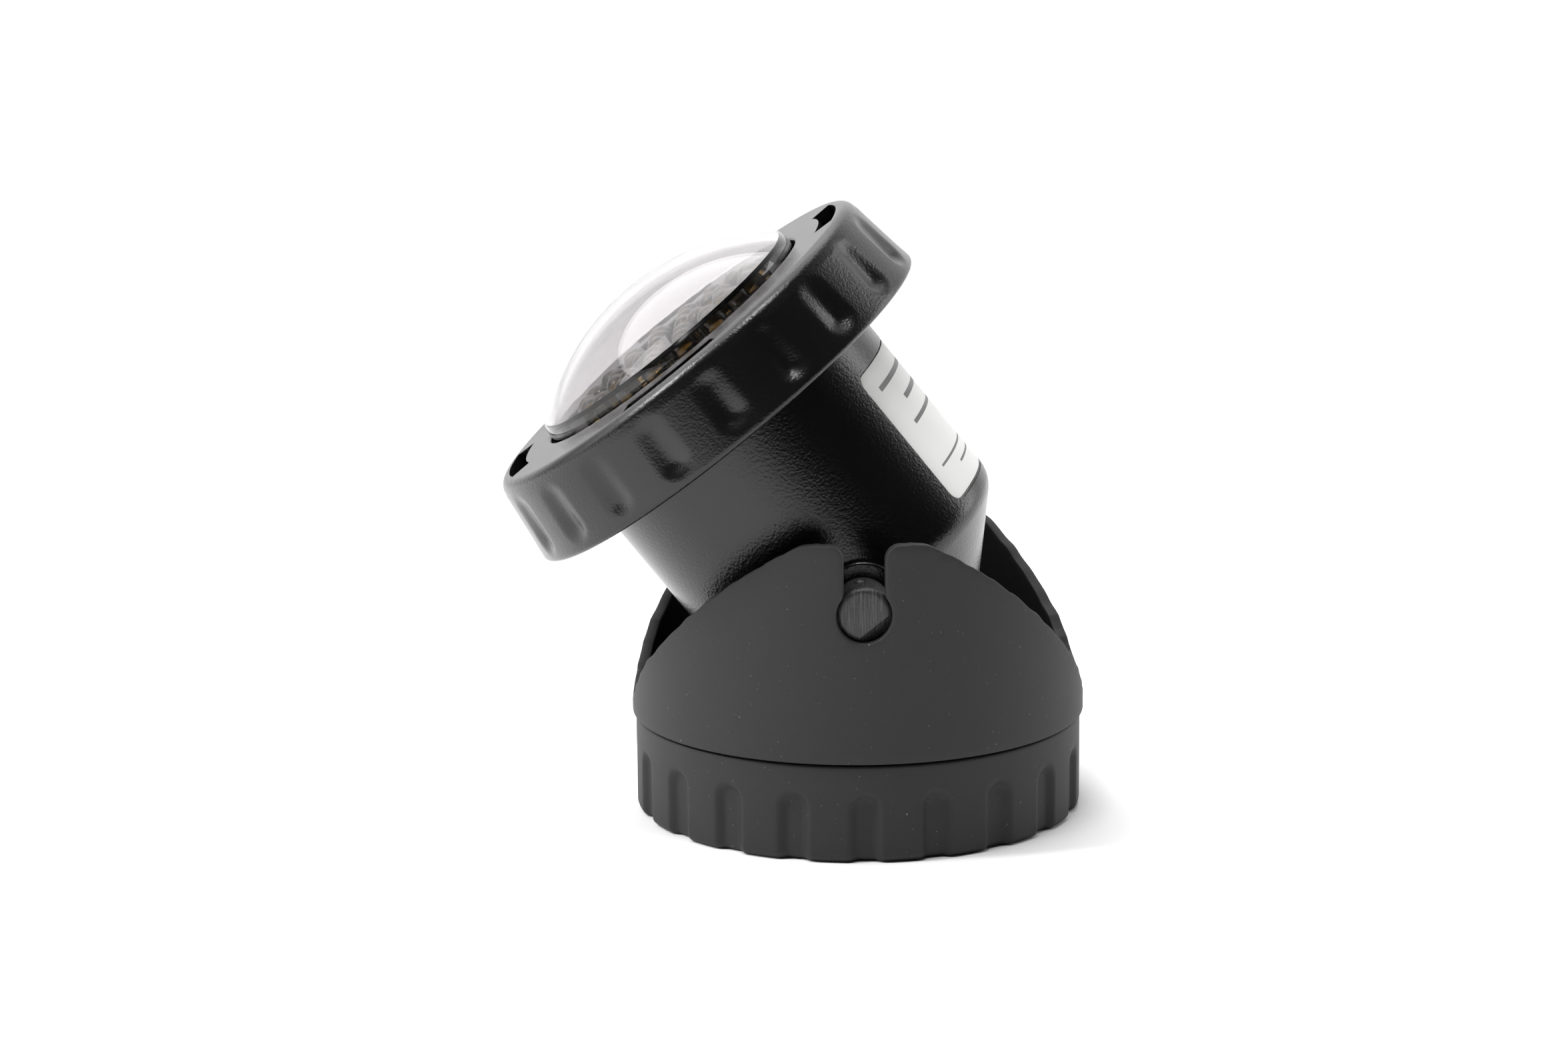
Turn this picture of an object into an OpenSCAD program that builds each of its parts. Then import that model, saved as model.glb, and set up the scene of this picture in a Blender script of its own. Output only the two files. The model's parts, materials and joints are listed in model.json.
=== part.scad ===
// Underwater pond light: a tilting lamp head in a two-eared yoke on a round weighted base.
// Frame: +Z up, origin at the centre of the base's underside. The tilt axis runs along Y.
// The head leans towards -X. Inside head(), +Z is the lamp's own axis and the tilt pivot is zero.

/* [Base] */
// Outer radius of the fluted base cup
base_r = 40; // [38:0.5:42]
// Height of the base cup
base_h = 17.3; // [16.5:0.1:18.5]
// Wall thickness of the base cup
base_wall = 2.5; // [2:0.1:3]
// Grip flutes around the base cup and around the collar
flute_count = 20; // [16:1:22]
// Depth of a grip flute
flute_depth = 1.1; // [0.8:0.1:1.3]

/* [Yoke] */
// How far the yoke stands proud of the base cup
yoke_proud = 0.6; // [0.4:0.1:1]
// Wall thickness of the yoke's ears
ear_wall = 2.2; // [1.8:0.1:2.6]
// Height of the ears' crowns above the table
ear_top_z = 56; // [54:0.5:58]
// Width of the keyhole's neck
neck_w = 7.3; // [6.5:0.1:8]

/* [Head] */
// Height of the tilt pivot above the table
pivot_z = 43.8; // [43:0.1:45]
// Lean of the lamp from upright, in degrees
tilt = 38.5; // [0:0.5:60]
// Outer radius of the lamp housing
body_r = 28.8; // [27.5:0.1:29.5]
// Wall thickness of the lamp housing
body_wall = 2.4; // [2:0.1:3]
// Radius of the trunnion pins
pin_r = 4.75; // [4:0.05:5]

/* [Collar and lens] */
// Radius of the collar at its front edge
collar_front_r = 40.3; // [40:0.1:41]
// Radius of the collar at its back edge
collar_back_r = 42.2; // [41.5:0.1:43]
// Outer radius of the clear dome at its foot
dome_r = 27.3; // [26:0.1:27.5]
// Height of the dome's cap above its skirt
dome_h = 10.5; // [9:0.5:12]

/* [Light engine] */
// Radii of the three rings of light-emitting diodes
led_rings = [6.2, 12.4, 18.8];
// Diodes in each ring
led_counts = [6, 12, 18];
// Radius of a diode's body
led_r = 2.5; // [2.3:0.05:2.5]

/* [Hidden] */

$fn = 96;
cut = 1;                     // how far a cutter runs past a face
run_gap = 0.08;              // radial clearance of a running fit
slip_gap = 0.2;              // clearance between bayonet parts
edge_r = 1.6;                // rounding of the moulded outer edges

// base cup
floor_t = 2.2;
foot_r = 1.4;                // rounding at the foot
flute_w = 6.2;
rim_cut = 0.5;               // chamfer at the cup's top edge
flute_top = base_h - 4.2;
flute_cut_r = (flute_w * flute_w / 4 + flute_depth * flute_depth) / (2 * flute_depth);
cup_r = base_r - base_wall;
lug_half = 16;               // half the angle of a bayonet lug
lug_count = 4;
cup_lug_z = [9.4, 11.2];
cup_lug_r = cup_r - 0.9;

// ballast and its screws
weight_r = 33;
weight_z = [floor_t, 5.8];
screw_pcd_r = 22;
screw_r = 1.5;
screw_head_r = 2.9;
screw_head_h = 1.6;
screw_count = 3;
screw_sink = 0.3;
screw_len = 6.4;
drive_size = [3.6, 0.7];     // cross slot of a ballast screw
drive_deep = 0.8;

// yoke
yoke_r = base_r + yoke_proud;
ear_in_r = yoke_r - ear_wall;
seam_gap = 0.4;
seat_z = base_h + 0.05;
skirt_r = cup_lug_r - slip_gap;
skirt_wall = 2;
skirt_z = 6.2;
yoke_floor_z = [11.6, 13.6];
yoke_lug_z = [6.6, 9.2];
seam_in_r = 38.9;            // where the shadow gap under the yoke's rim ends
ledge_h = 1.6;               // height of the ledge inside the ears
ear_foot_z = 19.6;           // lowest point between the ears
crown_out_x = 10.6;
crown_drop = 0.1;            // how far the crown falls towards its outer end
ear_run = 5;                 // how far the ear's outline runs on below and beside the ring
hip = [37.6, 30.2];          // where the long edge turns down to the side
ear_bow_r = 62;
side_bow_r = 34;
neck_round = 2.6;
seat_r = pin_r + run_gap;
drain_r = 2.2;
drain_x = 20;

// lamp housing, along the lamp's axis from the pivot
body_in_r = body_r - body_wall;
taper_s = -2.7;              // where the cone begins
cone_end = [14.2, -17.4];    // radius and place of the flat end
end_wall = 2.6;
taper_in = [1.4, 0.8];       // how the cone's inner face stands back from its outer one
collar_back_s = 36.4;
flange_r = 32.6;
flange_s = [41.4, 48];
flange_cone_h = 2.4;
flange_lug_r = 37.9;
flange_lug_s = [44.2, 46.6];
flange_lug_half = 20;
groove_r = [28.9, 31.4];
groove_s = 46.4;
pin_end = 39.6;
boss_r = 7.2;
boss_end = 30.8;
pin_root = 6;                // how far a pin runs into the housing before it is hollowed
pin_bevel = 0.55;            // where the 45 degree bevel starts, as a share of the pin's radius
bevel_block = 20;
label_half = 38.5;           // half the angle the label covers
label_s = [1.5, 28.8];
label_t = 0.22;
pocket_t = 0.3;
pocket_rim = 0.5;
post_r = 2.6;
post_pcd_r = 22.2;
post_count = 3;
post_start = 30;             // turn of the posts about the axis
post_foot_s = -4.6;
post_hole_r = 1.1;
neck_bore = 8;

// collar ring
face_s = 52.4;
lip_s = 50.5;
lip_in_r = dome_r + 0.6;
collar_in_r = 38.1;
back_cut = 0.8;              // chamfer at the collar's back edge
collar_flute_out = 0.7;
collar_lean = 5;             // lean of the collar's wall, in degrees
edge_start = 6;              // where the front edge's rounding meets the leaning wall
collar_lug_s = [41.6, 44.0];
collar_lug_r = flange_r + 0.4;
window_r = [33.2, 36.8];
window_half = lug_half - 0.5;
collar_flute_s = [39.4, 49.6];
flute_phase = 11.4;

// lens and gasket
gasket_top_s = 48.4;
lens_flange_r = 32.2;
lens_flange_s = [gasket_top_s, 50.4];
skirt_top_s = 53.8;
lens_t = 2;
cap_r = (dome_r * dome_r + dome_h * dome_h) / (2 * dome_h);
cap_s = skirt_top_s + dome_h - cap_r;

// light engine
board_r = 25.6;
board_s = [42.6, 44.2];
holder_r = dome_r - lens_t - 0.4;
holder_s = [48.8, 50];
holder_rim_r = 24;
holder_rim_t = 1.2;
screw_room = [0.3, 0.6];     // room around and over a board screw's head
led_foot_s = 45.4;
led_top_s = 54.2;
led_rim_r = 2.9;
led_rim_h = 1;
led_hole_gap = 0.15;
led_lead_r = 0.25;
led_lead_x = 1.27;
led_lead_in = 0.3;           // how far a lead runs into the diode's foot
led_ring_turn = [0, 15, 0];
board_screw_r = 1.1;
board_screw_head_r = 2.1;
board_screw_head_h = 1.1;
board_screw_len = 7;
board_screw_in = 0.5;
board_drive = [2.8, 0.5, 0.6];
board_hole_gap = 0.1;
pack_gap = 0.02;
diode_at = [-12, -6];
diode_pitch = 4;
diode_size = [1.35, 5.2];    // radius and length
diode_wire = [0.4, 9];
resistor_at = [11, -7.5];
resistor_pitch = 5;
resistor_size = [1.2, 6.4];
resistor_cap = [1.6, 1.6];
resistor_cap_x = 2.5;
resistor_wire = [0.35, 11];
bridge_count = 4;
can_size = [5, 13];
terminal_at = [2.5, -14];
terminal_size = [0.7, 4];

// cable inlet
inlet_r = 3;
bush_r = 4.6;
bush_s = [-24.6, -13.2];
gland_neck_r = 7;
gland_neck_s = -21.4;
nut_r = 8.6;
nut_s = [-25.6, -18.2];
nut_sides = 6;
nut_bore_gap = 0.4;
potting_s = [-14.8, -6.4];

function arc_point(c, r, a) = [c[0] + r * cos(a), c[1] + r * sin(a)];

// points of an arc about c, from angle a to angle b
function arc(c, r, a, b, n) = [for (i = [0:n]) arc_point(c, r, a + (b - a) * i / n)];

// points from p to q on an arc of radius r that bows to the left of the way from p to q
function bow(p, q, r, n) =
    let (d = q - p)
    let (len = norm(d))
    let (mid = (p + q) / 2)
    let (deep = sqrt(r * r - len * len / 4))
    let (c = mid + [d[1], -d[0]] / len * deep)
    let (a = atan2(p[1] - c[1], p[0] - c[0]))
    let (sweep = 2 * asin(len / 2 / r))
    arc(c, r, a, a - sweep, n);

// a flat ring
module ring(r_in, r_out, z)
    translate([0, 0, z[0]])
        rotate_extrude()
            translate([r_in, 0])
                square([r_out - r_in, z[1] - z[0]]);

// part of a flat ring, half degrees to each side of turn
module ring_part(r_in, r_out, z, half, turn)
    translate([0, 0, z[0]])
        rotate([0, 0, turn - half])
            rotate_extrude(angle = 2 * half)
                translate([r_in, 0])
                    square([r_out - r_in, z[1] - z[0]]);

// the frame of the lamp head
module head()
    translate([0, 0, pivot_z])
        rotate([0, -tilt, 0])
            children();

// round-bottomed grooves all around a ring whose surface leans by lean degrees
module flutes(r, z, lean, phase)
    for (i = [0:flute_count - 1])
        rotate([0, 0, phase + 360 / flute_count * i])
            translate([r - flute_depth + flute_cut_r, 0, z[0]])
                rotate([0, lean, 0])
                    cylinder(h = z[1] - z[0], r = flute_cut_r);

module around(count, r, turn)
    for (i = [0:count - 1])
        rotate([0, 0, turn + 360 / count * i])
            translate([r, 0, 0])
                children();

module base_cup()
    color([0.13, 0.13, 0.135])
    difference() {
        union() {
            difference() {
                rotate_extrude()
                    polygon(concat([[0, 0]],
                                   arc([base_r - foot_r, foot_r], foot_r, -90, 0, 5),
                                   [[base_r, base_h - rim_cut], [base_r - rim_cut, base_h], [0, base_h]]));
                translate([0, 0, floor_t])
                    cylinder(h = base_h, r = cup_r);
                flutes(base_r, [-cut, flute_top], 0, -90);
            }
            for (i = [0:lug_count - 1])
                ring_part(cup_lug_r, cup_r + cut / 2, cup_lug_z, lug_half, 360 / lug_count * i);
        }
        around(screw_count, screw_pcd_r, 90) {
            translate([0, 0, -cut])
                cylinder(h = floor_t + 2 * cut, r = screw_r + run_gap);
            translate([0, 0, -cut])
                cylinder(h = screw_head_h + screw_sink + cut, r = screw_head_r + slip_gap);
        }
    }

module base_weight()
    color([0.3, 0.3, 0.31])
    difference() {
        translate([0, 0, weight_z[0]])
            cylinder(h = weight_z[1] - weight_z[0], r = weight_r);
        around(screw_count, screw_pcd_r, 90)
            cylinder(h = base_h, r = screw_r);
    }

module weight_screws()
    color([0.7, 0.7, 0.72])
    around(screw_count, screw_pcd_r, 90)
        translate([0, 0, screw_sink])
            difference() {
                union() {
                    cylinder(h = screw_len - screw_sink, r = screw_r);
                    cylinder(h = screw_head_h, r = screw_head_r);
                }
                for (turn = [0, 90])
                    rotate([0, 0, turn])
                        translate([-drive_size[0] / 2, -drive_size[1] / 2, -cut])
                            cube([drive_size[0], drive_size[1], cut + drive_deep]);
            }

// half of an ear's outline as seen along Y, from the neck round to the foot
function ear_half() = concat(
    [[neck_w / 2, pivot_z]],
    arc([neck_w / 2 + neck_round, ear_top_z - neck_round], neck_round, 180, 90, 6),
    bow([crown_out_x, ear_top_z - crown_drop], hip, ear_bow_r, 10),
    bow(hip, [yoke_r + 0.01, ear_foot_z], side_bow_r, 4),
    [[yoke_r + ear_run, ear_foot_z], [yoke_r + ear_run, base_h - ear_run],
     [0, base_h - ear_run], [0, pivot_z - cut]]);

module yoke()
    color([0.2, 0.2, 0.21])
    difference() {
        union() {
            intersection() {
                ring(ear_in_r, yoke_r, [base_h + seam_gap, ear_top_z + cut]);
                rotate([90, 0, 0])
                    translate([0, 0, -yoke_r - cut])
                        linear_extrude(2 * (yoke_r + cut))
                            union() {
                                polygon(ear_half());
                                mirror([1, 0])
                                    polygon(ear_half());
                            }
            }
            ring(skirt_r - skirt_wall, seam_in_r, [seat_z, base_h + seam_gap + ledge_h]);
            ring(skirt_r - skirt_wall, skirt_r, [skirt_z, seat_z]);
            ring(seam_in_r - cut, ear_in_r + cut, [base_h + seam_gap, base_h + seam_gap + ledge_h]);
            translate([0, 0, yoke_floor_z[0]])
                cylinder(h = yoke_floor_z[1] - yoke_floor_z[0], r = skirt_r - skirt_wall + cut);
            for (i = [0:lug_count - 1])
                ring_part(skirt_r - cut, cup_r - slip_gap, yoke_lug_z, lug_half, 360 / lug_count * i);
        }
        translate([0, 0, pivot_z])
            rotate([90, 0, 0])
                cylinder(h = 3 * yoke_r, r = seat_r, center = true);
        for (side = [-1, 1])
            translate([side * drain_x, 0, 0])
                cylinder(h = base_h, r = drain_r);
    }

module housing_outside()
    rotate_extrude()
        polygon([[0, cone_end[1]], [cone_end[0], cone_end[1]], [body_r, taper_s],
                 [body_r, flange_s[0]], [flange_r, flange_s[0] + flange_cone_h], [flange_r, flange_s[1]],
                 [0, flange_s[1]]]);

module housing_inside()
    rotate_extrude()
        polygon([[0, cone_end[1] + end_wall], [cone_end[0] - taper_in[0], cone_end[1] + end_wall],
                 [body_in_r, taper_s + taper_in[1]], [body_in_r, flange_s[1] + cut],
                 [0, flange_s[1] + cut]]);

// a trunnion pin on the -Y side, with the bevel that spreads the ears as it snaps in
module trunnion()
    difference() {
        union() {
            rotate([90, 0, 0])
                translate([0, 0, body_in_r - pin_root])
                    cylinder(h = pin_end - body_in_r + pin_root, r = pin_r);
            rotate([90, 0, 0])
                translate([0, 0, body_in_r - pin_root])
                    cylinder(h = boss_end - body_in_r + pin_root, r = boss_r);
        }
        translate([0, -pin_end, -pin_r * pin_bevel])
            rotate([45, 0, 0])
                translate([-bevel_block / 2, -bevel_block, -bevel_block])
                    cube(bevel_block);
    }

module posts(r, s)
    around(post_count, post_pcd_r, post_start)
        translate([0, 0, s[0]])
            cylinder(h = s[1] - s[0], r = r);

module lamp_housing()
    color([0.09, 0.09, 0.095])
    head()
    difference() {
        union() {
            difference() {
                union() {
                    housing_outside();
                    trunnion();
                    mirror([0, 1, 0])
                        trunnion();
                    for (i = [0:lug_count - 1])
                        ring_part(flange_r - cut, flange_lug_r, flange_lug_s, flange_lug_half,
                                  360 / lug_count * i);
                    translate([0, 0, gland_neck_s])
                        cylinder(h = cone_end[1] - gland_neck_s + cut, r = gland_neck_r);
                }
                housing_inside();
                ring_part(body_r - pocket_t, body_r + cut,
                          [label_s[0] - pocket_rim, label_s[1] + pocket_rim],
                          label_half + 1, 0);
                ring(groove_r[0], groove_r[1], [groove_s, flange_s[1] + cut]);
            }
            posts(post_r, [post_foot_s, board_s[0]]);
        }
        posts(post_hole_r, [board_s[0] - board_screw_len + 1, board_s[0] + cut]);
        translate([0, 0, gland_neck_s - cut])
            cylinder(h = neck_bore + cut, r = bush_r);
    }

module rating_label()
    color([0.9, 0.9, 0.88])
    head()
    ring_part(body_r - pocket_t, body_r - pocket_t + label_t, label_s, label_half, 0);

module lens_gasket()
    color([0.05, 0.05, 0.05])
    head()
    ring(groove_r[0] + pack_gap, groove_r[1] - pack_gap, [groove_s, gasket_top_s]);

module dome_lens()
    color([0.85, 0.88, 0.9, 0.35])
    head()
    difference() {
        union() {
            ring(dome_r - lens_t, lens_flange_r, lens_flange_s);
            ring(dome_r - lens_t, dome_r, [lens_flange_s[0], skirt_top_s]);
            intersection() {
                translate([0, 0, cap_s])
                    sphere(r = cap_r);
                translate([0, 0, skirt_top_s])
                    cylinder(h = dome_h + cut, r = dome_r + cut);
            }
        }
        intersection() {
            translate([0, 0, cap_s])
                sphere(r = cap_r - lens_t);
            translate([0, 0, skirt_top_s - cut])
                cylinder(h = dome_h + cut, r = dome_r - lens_t);
        }
    }

module collar_ring()
    color([0.1, 0.1, 0.105])
    head()
    difference() {
        union() {
            difference() {
                rotate_extrude()
                    polygon(concat([[0, collar_back_s], [collar_back_r - back_cut, collar_back_s],
                                    [collar_back_r, collar_back_s + back_cut]],
                                   arc([collar_front_r - edge_r, face_s - edge_r], edge_r,
                                       edge_start, 90, 6),
                                   [[0, face_s]]));
                translate([0, 0, collar_back_s - cut])
                    cylinder(h = lip_s - collar_back_s + cut, r = collar_in_r);
                cylinder(h = face_s + cut, r = lip_in_r);
                flutes(collar_front_r + collar_flute_out, collar_flute_s, -collar_lean, -flute_phase);
            }
            for (i = [0:lug_count - 1])
                ring_part(collar_lug_r, collar_in_r + cut / 2, collar_lug_s, lug_half,
                          360 / lug_count * i);
        }
        for (i = [0:lug_count - 1])
            ring_part(window_r[0], window_r[1], [lip_s - cut, face_s + cut], window_half,
                      360 / lug_count * i);
    }

module led_board()
    color([0.1, 0.32, 0.16])
    head()
    difference() {
        translate([0, 0, board_s[0]])
            cylinder(h = board_s[1] - board_s[0], r = board_r);
        posts(board_screw_r + board_hole_gap, [board_s[0] - cut, board_s[1] + cut]);
    }

// places at the diodes of one ring
module led_places(k)
    around(led_counts[k], led_rings[k], led_ring_turn[k])
        children();

module led_holder()
    color([0.06, 0.06, 0.06])
    head()
    difference() {
        union() {
            translate([0, 0, holder_s[0]])
                cylinder(h = holder_s[1] - holder_s[0], r = holder_r);
            ring(holder_rim_r - holder_rim_t, holder_rim_r, [board_s[1], holder_s[0] + cut / 2]);
        }
        for (k = [0:2])
            led_places(k)
                translate([0, 0, holder_s[0] - cut])
                    cylinder(h = holder_s[1] - holder_s[0] + 2 * cut, r = led_r + led_hole_gap,
                             $fn = 32);
        posts(board_screw_head_r + screw_room[0], [board_s[1] - cut, holder_s[0] - screw_room[1]]);
    }

module led()
    union() {
        rotate_extrude($fn = 32)
            polygon(concat([[0, led_foot_s], [led_rim_r, led_foot_s],
                            [led_rim_r, led_foot_s + led_rim_h], [led_r, led_foot_s + led_rim_h]],
                           arc([0, led_top_s - led_r], led_r, 0, 90, 5)));
        for (side = [-1, 1])
            translate([side * led_lead_x, 0, board_s[1]])
                cylinder(h = led_foot_s - board_s[1] + led_lead_in, r = led_lead_r, $fn = 16);
    }

module led_ring(k)
    color([0.95, 0.93, 0.85, 0.6])
    head()
    led_places(k)
        led();

module leds_inner() led_ring(0);

module leds_middle() led_ring(1);

module leds_outer() led_ring(2);

module board_screws()
    color([0.75, 0.75, 0.77])
    head()
    around(post_count, post_pcd_r, post_start)
        difference() {
            union() {
                translate([0, 0, board_s[1]])
                    cylinder(h = board_screw_head_h, r = board_screw_head_r, $fn = 32);
                translate([0, 0, board_s[1] - board_screw_len])
                    cylinder(h = board_screw_len + board_screw_in, r = board_screw_r, $fn = 32);
            }
            translate([-board_drive[0] / 2, -board_drive[1] / 2,
                       board_s[1] + board_screw_head_h - board_drive[2]])
                cube([board_drive[0], board_drive[1], board_drive[2] + cut]);
        }

// four diodes of the bridge rectifier, lying on the back of the board
module bridge_diodes()
    color([0.08, 0.08, 0.09])
    head()
    for (i = [0:bridge_count - 1])
        translate([diode_at[0], diode_at[1] + diode_pitch * i, board_s[0] - diode_size[0]])
            rotate([0, 90, 0]) {
                cylinder(h = diode_size[1], r = diode_size[0], center = true, $fn = 32);
                cylinder(h = diode_wire[1], r = diode_wire[0], center = true, $fn = 16);
            }

module ballast_resistors()
    color([0.55, 0.68, 0.75])
    head()
    for (i = [0:bridge_count - 1])
        translate([resistor_at[0], resistor_at[1] + resistor_pitch * i,
                   board_s[0] - resistor_cap[0]])
            rotate([0, 90, 0]) {
                cylinder(h = resistor_size[1], r = resistor_size[0], center = true, $fn = 32);
                for (side = [-1, 1])
                    translate([0, 0, side * resistor_cap_x])
                        cylinder(h = resistor_cap[1], r = resistor_cap[0], center = true, $fn = 32);
                cylinder(h = resistor_wire[1], r = resistor_wire[0], center = true, $fn = 16);
            }

module smoothing_capacitor()
    color([0.1, 0.12, 0.2])
    head()
    translate([0, 0, board_s[0] - can_size[1]])
        cylinder(h = can_size[1], r = can_size[0], $fn = 64);

module terminal_pins()
    color([0.8, 0.65, 0.3])
    head()
    for (side = [-1, 1])
        translate([side * terminal_at[0], terminal_at[1], board_s[0] - terminal_size[1]])
            cylinder(h = terminal_size[1], r = terminal_size[0], $fn = 24);

module cable_potting()
    color([0.12, 0.11, 0.1])
    head()
    difference() {
        intersection() {
            translate([0, 0, potting_s[0]])
                cylinder(h = potting_s[1] - potting_s[0], r = body_r);
            housing_inside();
        }
        translate([0, 0, potting_s[0] - cut])
            cylinder(h = bush_s[1] - potting_s[0] + cut, r = bush_r);
        translate([0, 0, potting_s[0] - cut])
            cylinder(h = potting_s[1] - potting_s[0] + 2 * cut, r = inlet_r);
    }

module gland_bush()
    color([0.04, 0.04, 0.04])
    head()
    ring(inlet_r, bush_r - pack_gap, bush_s);

module gland_nut()
    color([0.09, 0.09, 0.095])
    head()
    difference() {
        translate([0, 0, nut_s[0]])
            cylinder(h = nut_s[1] - nut_s[0], r = nut_r, $fn = nut_sides);
        translate([0, 0, gland_neck_s])
            cylinder(h = nut_s[1] - gland_neck_s + cut, r = gland_neck_r + pack_gap);
        translate([0, 0, bush_s[0]])
            cylinder(h = nut_s[1] - bush_s[0] + cut, r = bush_r);
        translate([0, 0, nut_s[0] - cut])
            cylinder(h = nut_s[1] - nut_s[0], r = inlet_r + nut_bore_gap);
    }

base_cup();
base_weight();
weight_screws();
yoke();
lamp_housing();
rating_label();
lens_gasket();
dome_lens();
collar_ring();
led_board();
led_holder();
leds_inner();
leds_middle();
leds_outer();
board_screws();
bridge_diodes();
ballast_resistors();
smoothing_capacitor();
terminal_pins();
cable_potting();
gland_bush();
gland_nut();
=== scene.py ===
import json
from math import acos, asin, atan2, cos, degrees, hypot, pi, radians, sin, sqrt

import bpy
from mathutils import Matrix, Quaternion, Vector


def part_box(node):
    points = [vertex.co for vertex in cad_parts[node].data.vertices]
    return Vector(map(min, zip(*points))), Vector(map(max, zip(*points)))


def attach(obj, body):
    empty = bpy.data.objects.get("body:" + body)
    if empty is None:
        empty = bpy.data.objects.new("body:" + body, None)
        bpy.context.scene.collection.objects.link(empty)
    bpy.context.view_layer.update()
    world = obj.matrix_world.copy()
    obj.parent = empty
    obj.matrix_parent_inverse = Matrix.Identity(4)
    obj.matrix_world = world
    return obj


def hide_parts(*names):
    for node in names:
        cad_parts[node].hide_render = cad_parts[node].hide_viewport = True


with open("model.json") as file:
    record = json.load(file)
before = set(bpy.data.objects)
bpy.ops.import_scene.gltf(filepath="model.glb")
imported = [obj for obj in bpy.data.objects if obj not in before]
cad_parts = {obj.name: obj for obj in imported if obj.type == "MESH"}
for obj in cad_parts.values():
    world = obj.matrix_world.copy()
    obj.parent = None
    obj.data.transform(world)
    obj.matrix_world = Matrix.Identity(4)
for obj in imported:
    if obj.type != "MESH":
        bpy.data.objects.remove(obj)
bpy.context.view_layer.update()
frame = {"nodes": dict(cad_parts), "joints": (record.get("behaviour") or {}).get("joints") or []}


# ---- Camera: a long lens a little above the table, looking along +Y at the near ear.
camera_aim = Vector((0, 0, 0.040))
camera_side = radians(-1.8)
camera_height = radians(13.18)
camera_distance = 0.700
camera_back = Vector((sin(camera_side) * cos(camera_height),
                      -cos(camera_side) * cos(camera_height),
                      sin(camera_height)))
bpy.ops.object.camera_add(location=camera_aim + camera_back * camera_distance)
camera = bpy.context.active_object
camera.name = "camera"
camera.rotation_mode = "QUATERNION"
camera.rotation_quaternion = ((-camera_back).to_track_quat("-Z", "Y")
                              @ Quaternion((0, 0, 1), radians(-0.276))
                              @ Quaternion((0, 1, 0), radians(1.073))
                              @ Quaternion((1, 0, 0), radians(0.907)))
camera.data.sensor_width = 36
camera.data.lens = 89.48
bpy.context.scene.camera = camera
bpy.context.scene.view_settings.view_transform = "Standard"


# ---- Studio: a white table without an end, softboxes at both sides and above, a broad soft light
# from above and behind, and a darker room on the side that the camera stands.
bpy.ops.object.select_all(action="DESELECT")
bpy.ops.mesh.primitive_plane_add(size=16, location=(0, 0, 0))
table = bpy.context.active_object
table.name = "table"
table_paper = bpy.data.materials.new("table_paper")
table_paper.use_nodes = True
table_shader = table_paper.node_tree.nodes["Principled BSDF"]
table_shader.inputs["Base Color"].default_value = (0.93, 0.93, 0.93, 1)
table_shader.inputs["Roughness"].default_value = 0.9
table_shader.inputs["Specular IOR Level"].default_value = 0.1
table.data.materials.append(table_paper)

room = bpy.data.worlds.new("room")
room.use_nodes = True
bpy.context.scene.world = room
room_nodes = room.node_tree.nodes
room_links = room.node_tree.links
room_way = room_nodes.new("ShaderNodeTexCoord")
room_split = room_nodes.new("ShaderNodeSeparateXYZ")
room_links.new(room_way.outputs["Generated"], room_split.inputs[0])
room_ramp = room_nodes.new("ShaderNodeMapRange")
room_ramp.inputs["From Min"].default_value = -0.12
room_ramp.inputs["From Max"].default_value = 0.70
room_ramp.inputs["To Min"].default_value = 0.03
room_ramp.inputs["To Max"].default_value = 1.0
room_links.new(room_split.outputs["Y"], room_ramp.inputs["Value"])
room_back = room_nodes.new("ShaderNodeMapRange")
room_back.inputs["From Min"].default_value = 0.55
room_back.inputs["From Max"].default_value = 0.95
room_back.inputs["To Min"].default_value = 0.0
room_back.inputs["To Max"].default_value = 0.3
room_links.new(room_split.outputs["Y"], room_back.inputs["Value"])
room_sum = room_nodes.new("ShaderNodeMath")
room_links.new(room_ramp.outputs["Result"], room_sum.inputs[0])
room_links.new(room_back.outputs["Result"], room_sum.inputs[1])
room_light = room_nodes["Background"]
room_light.inputs["Color"].default_value = (1, 1, 1, 1)
room_links.new(room_sum.outputs[0], room_light.inputs["Strength"])
room_white = room_nodes.new("ShaderNodeBackground")
room_white.inputs["Color"].default_value = (1, 1, 1, 1)
room_white.inputs["Strength"].default_value = 1.05
room_mix = room_nodes.new("ShaderNodeMixShader")
room_ray = room_nodes.new("ShaderNodeLightPath")
room_links.new(room_ray.outputs["Is Camera Ray"], room_mix.inputs[0])
room_links.new(room_light.outputs[0], room_mix.inputs[1])
room_links.new(room_white.outputs[0], room_mix.inputs[2])
room_links.new(room_mix.outputs[0], room_nodes["World Output"].inputs["Surface"])


def softbox(name, place, aim, width, height, power):
    """a rectangular softbox at place, turned towards aim"""
    bpy.ops.object.light_add(type="AREA", location=place)
    lamp = bpy.context.active_object
    lamp.name = name
    lamp.data.shape = "RECTANGLE"
    lamp.data.size = width
    lamp.data.size_y = height
    lamp.data.energy = power
    lamp.rotation_euler = (Vector(aim) - Vector(place)).to_track_quat("-Z", "Y").to_euler()


softbox("left_softbox", (-0.95, -0.10, 0.55), (0, 0, 0.05), 0.7, 0.9, 4.2)
softbox("right_softbox", (0.95, 0.35, 0.45), (0, 0, 0.04), 0.35, 0.8, 2.5)
softbox("rim_softbox", (-0.62, -0.16, 0.62), (-0.02, -0.02, 0.08), 0.10, 0.26, 3.6)
softbox("top_strip", (-0.06, -0.20, 0.85), (0, 0, 0.04), 0.30, 0.12, 2.6)
bpy.ops.object.light_add(type="SUN", location=(-0.4, 0.5, 1.2))
ceiling = bpy.context.active_object
ceiling.name = "ceiling_light"
ceiling.data.angle = radians(75)
ceiling.data.energy = 2.35
ceiling.rotation_euler = Vector((0.35, -0.30, -1.0)).to_track_quat("-Z", "Y").to_euler()


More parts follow.
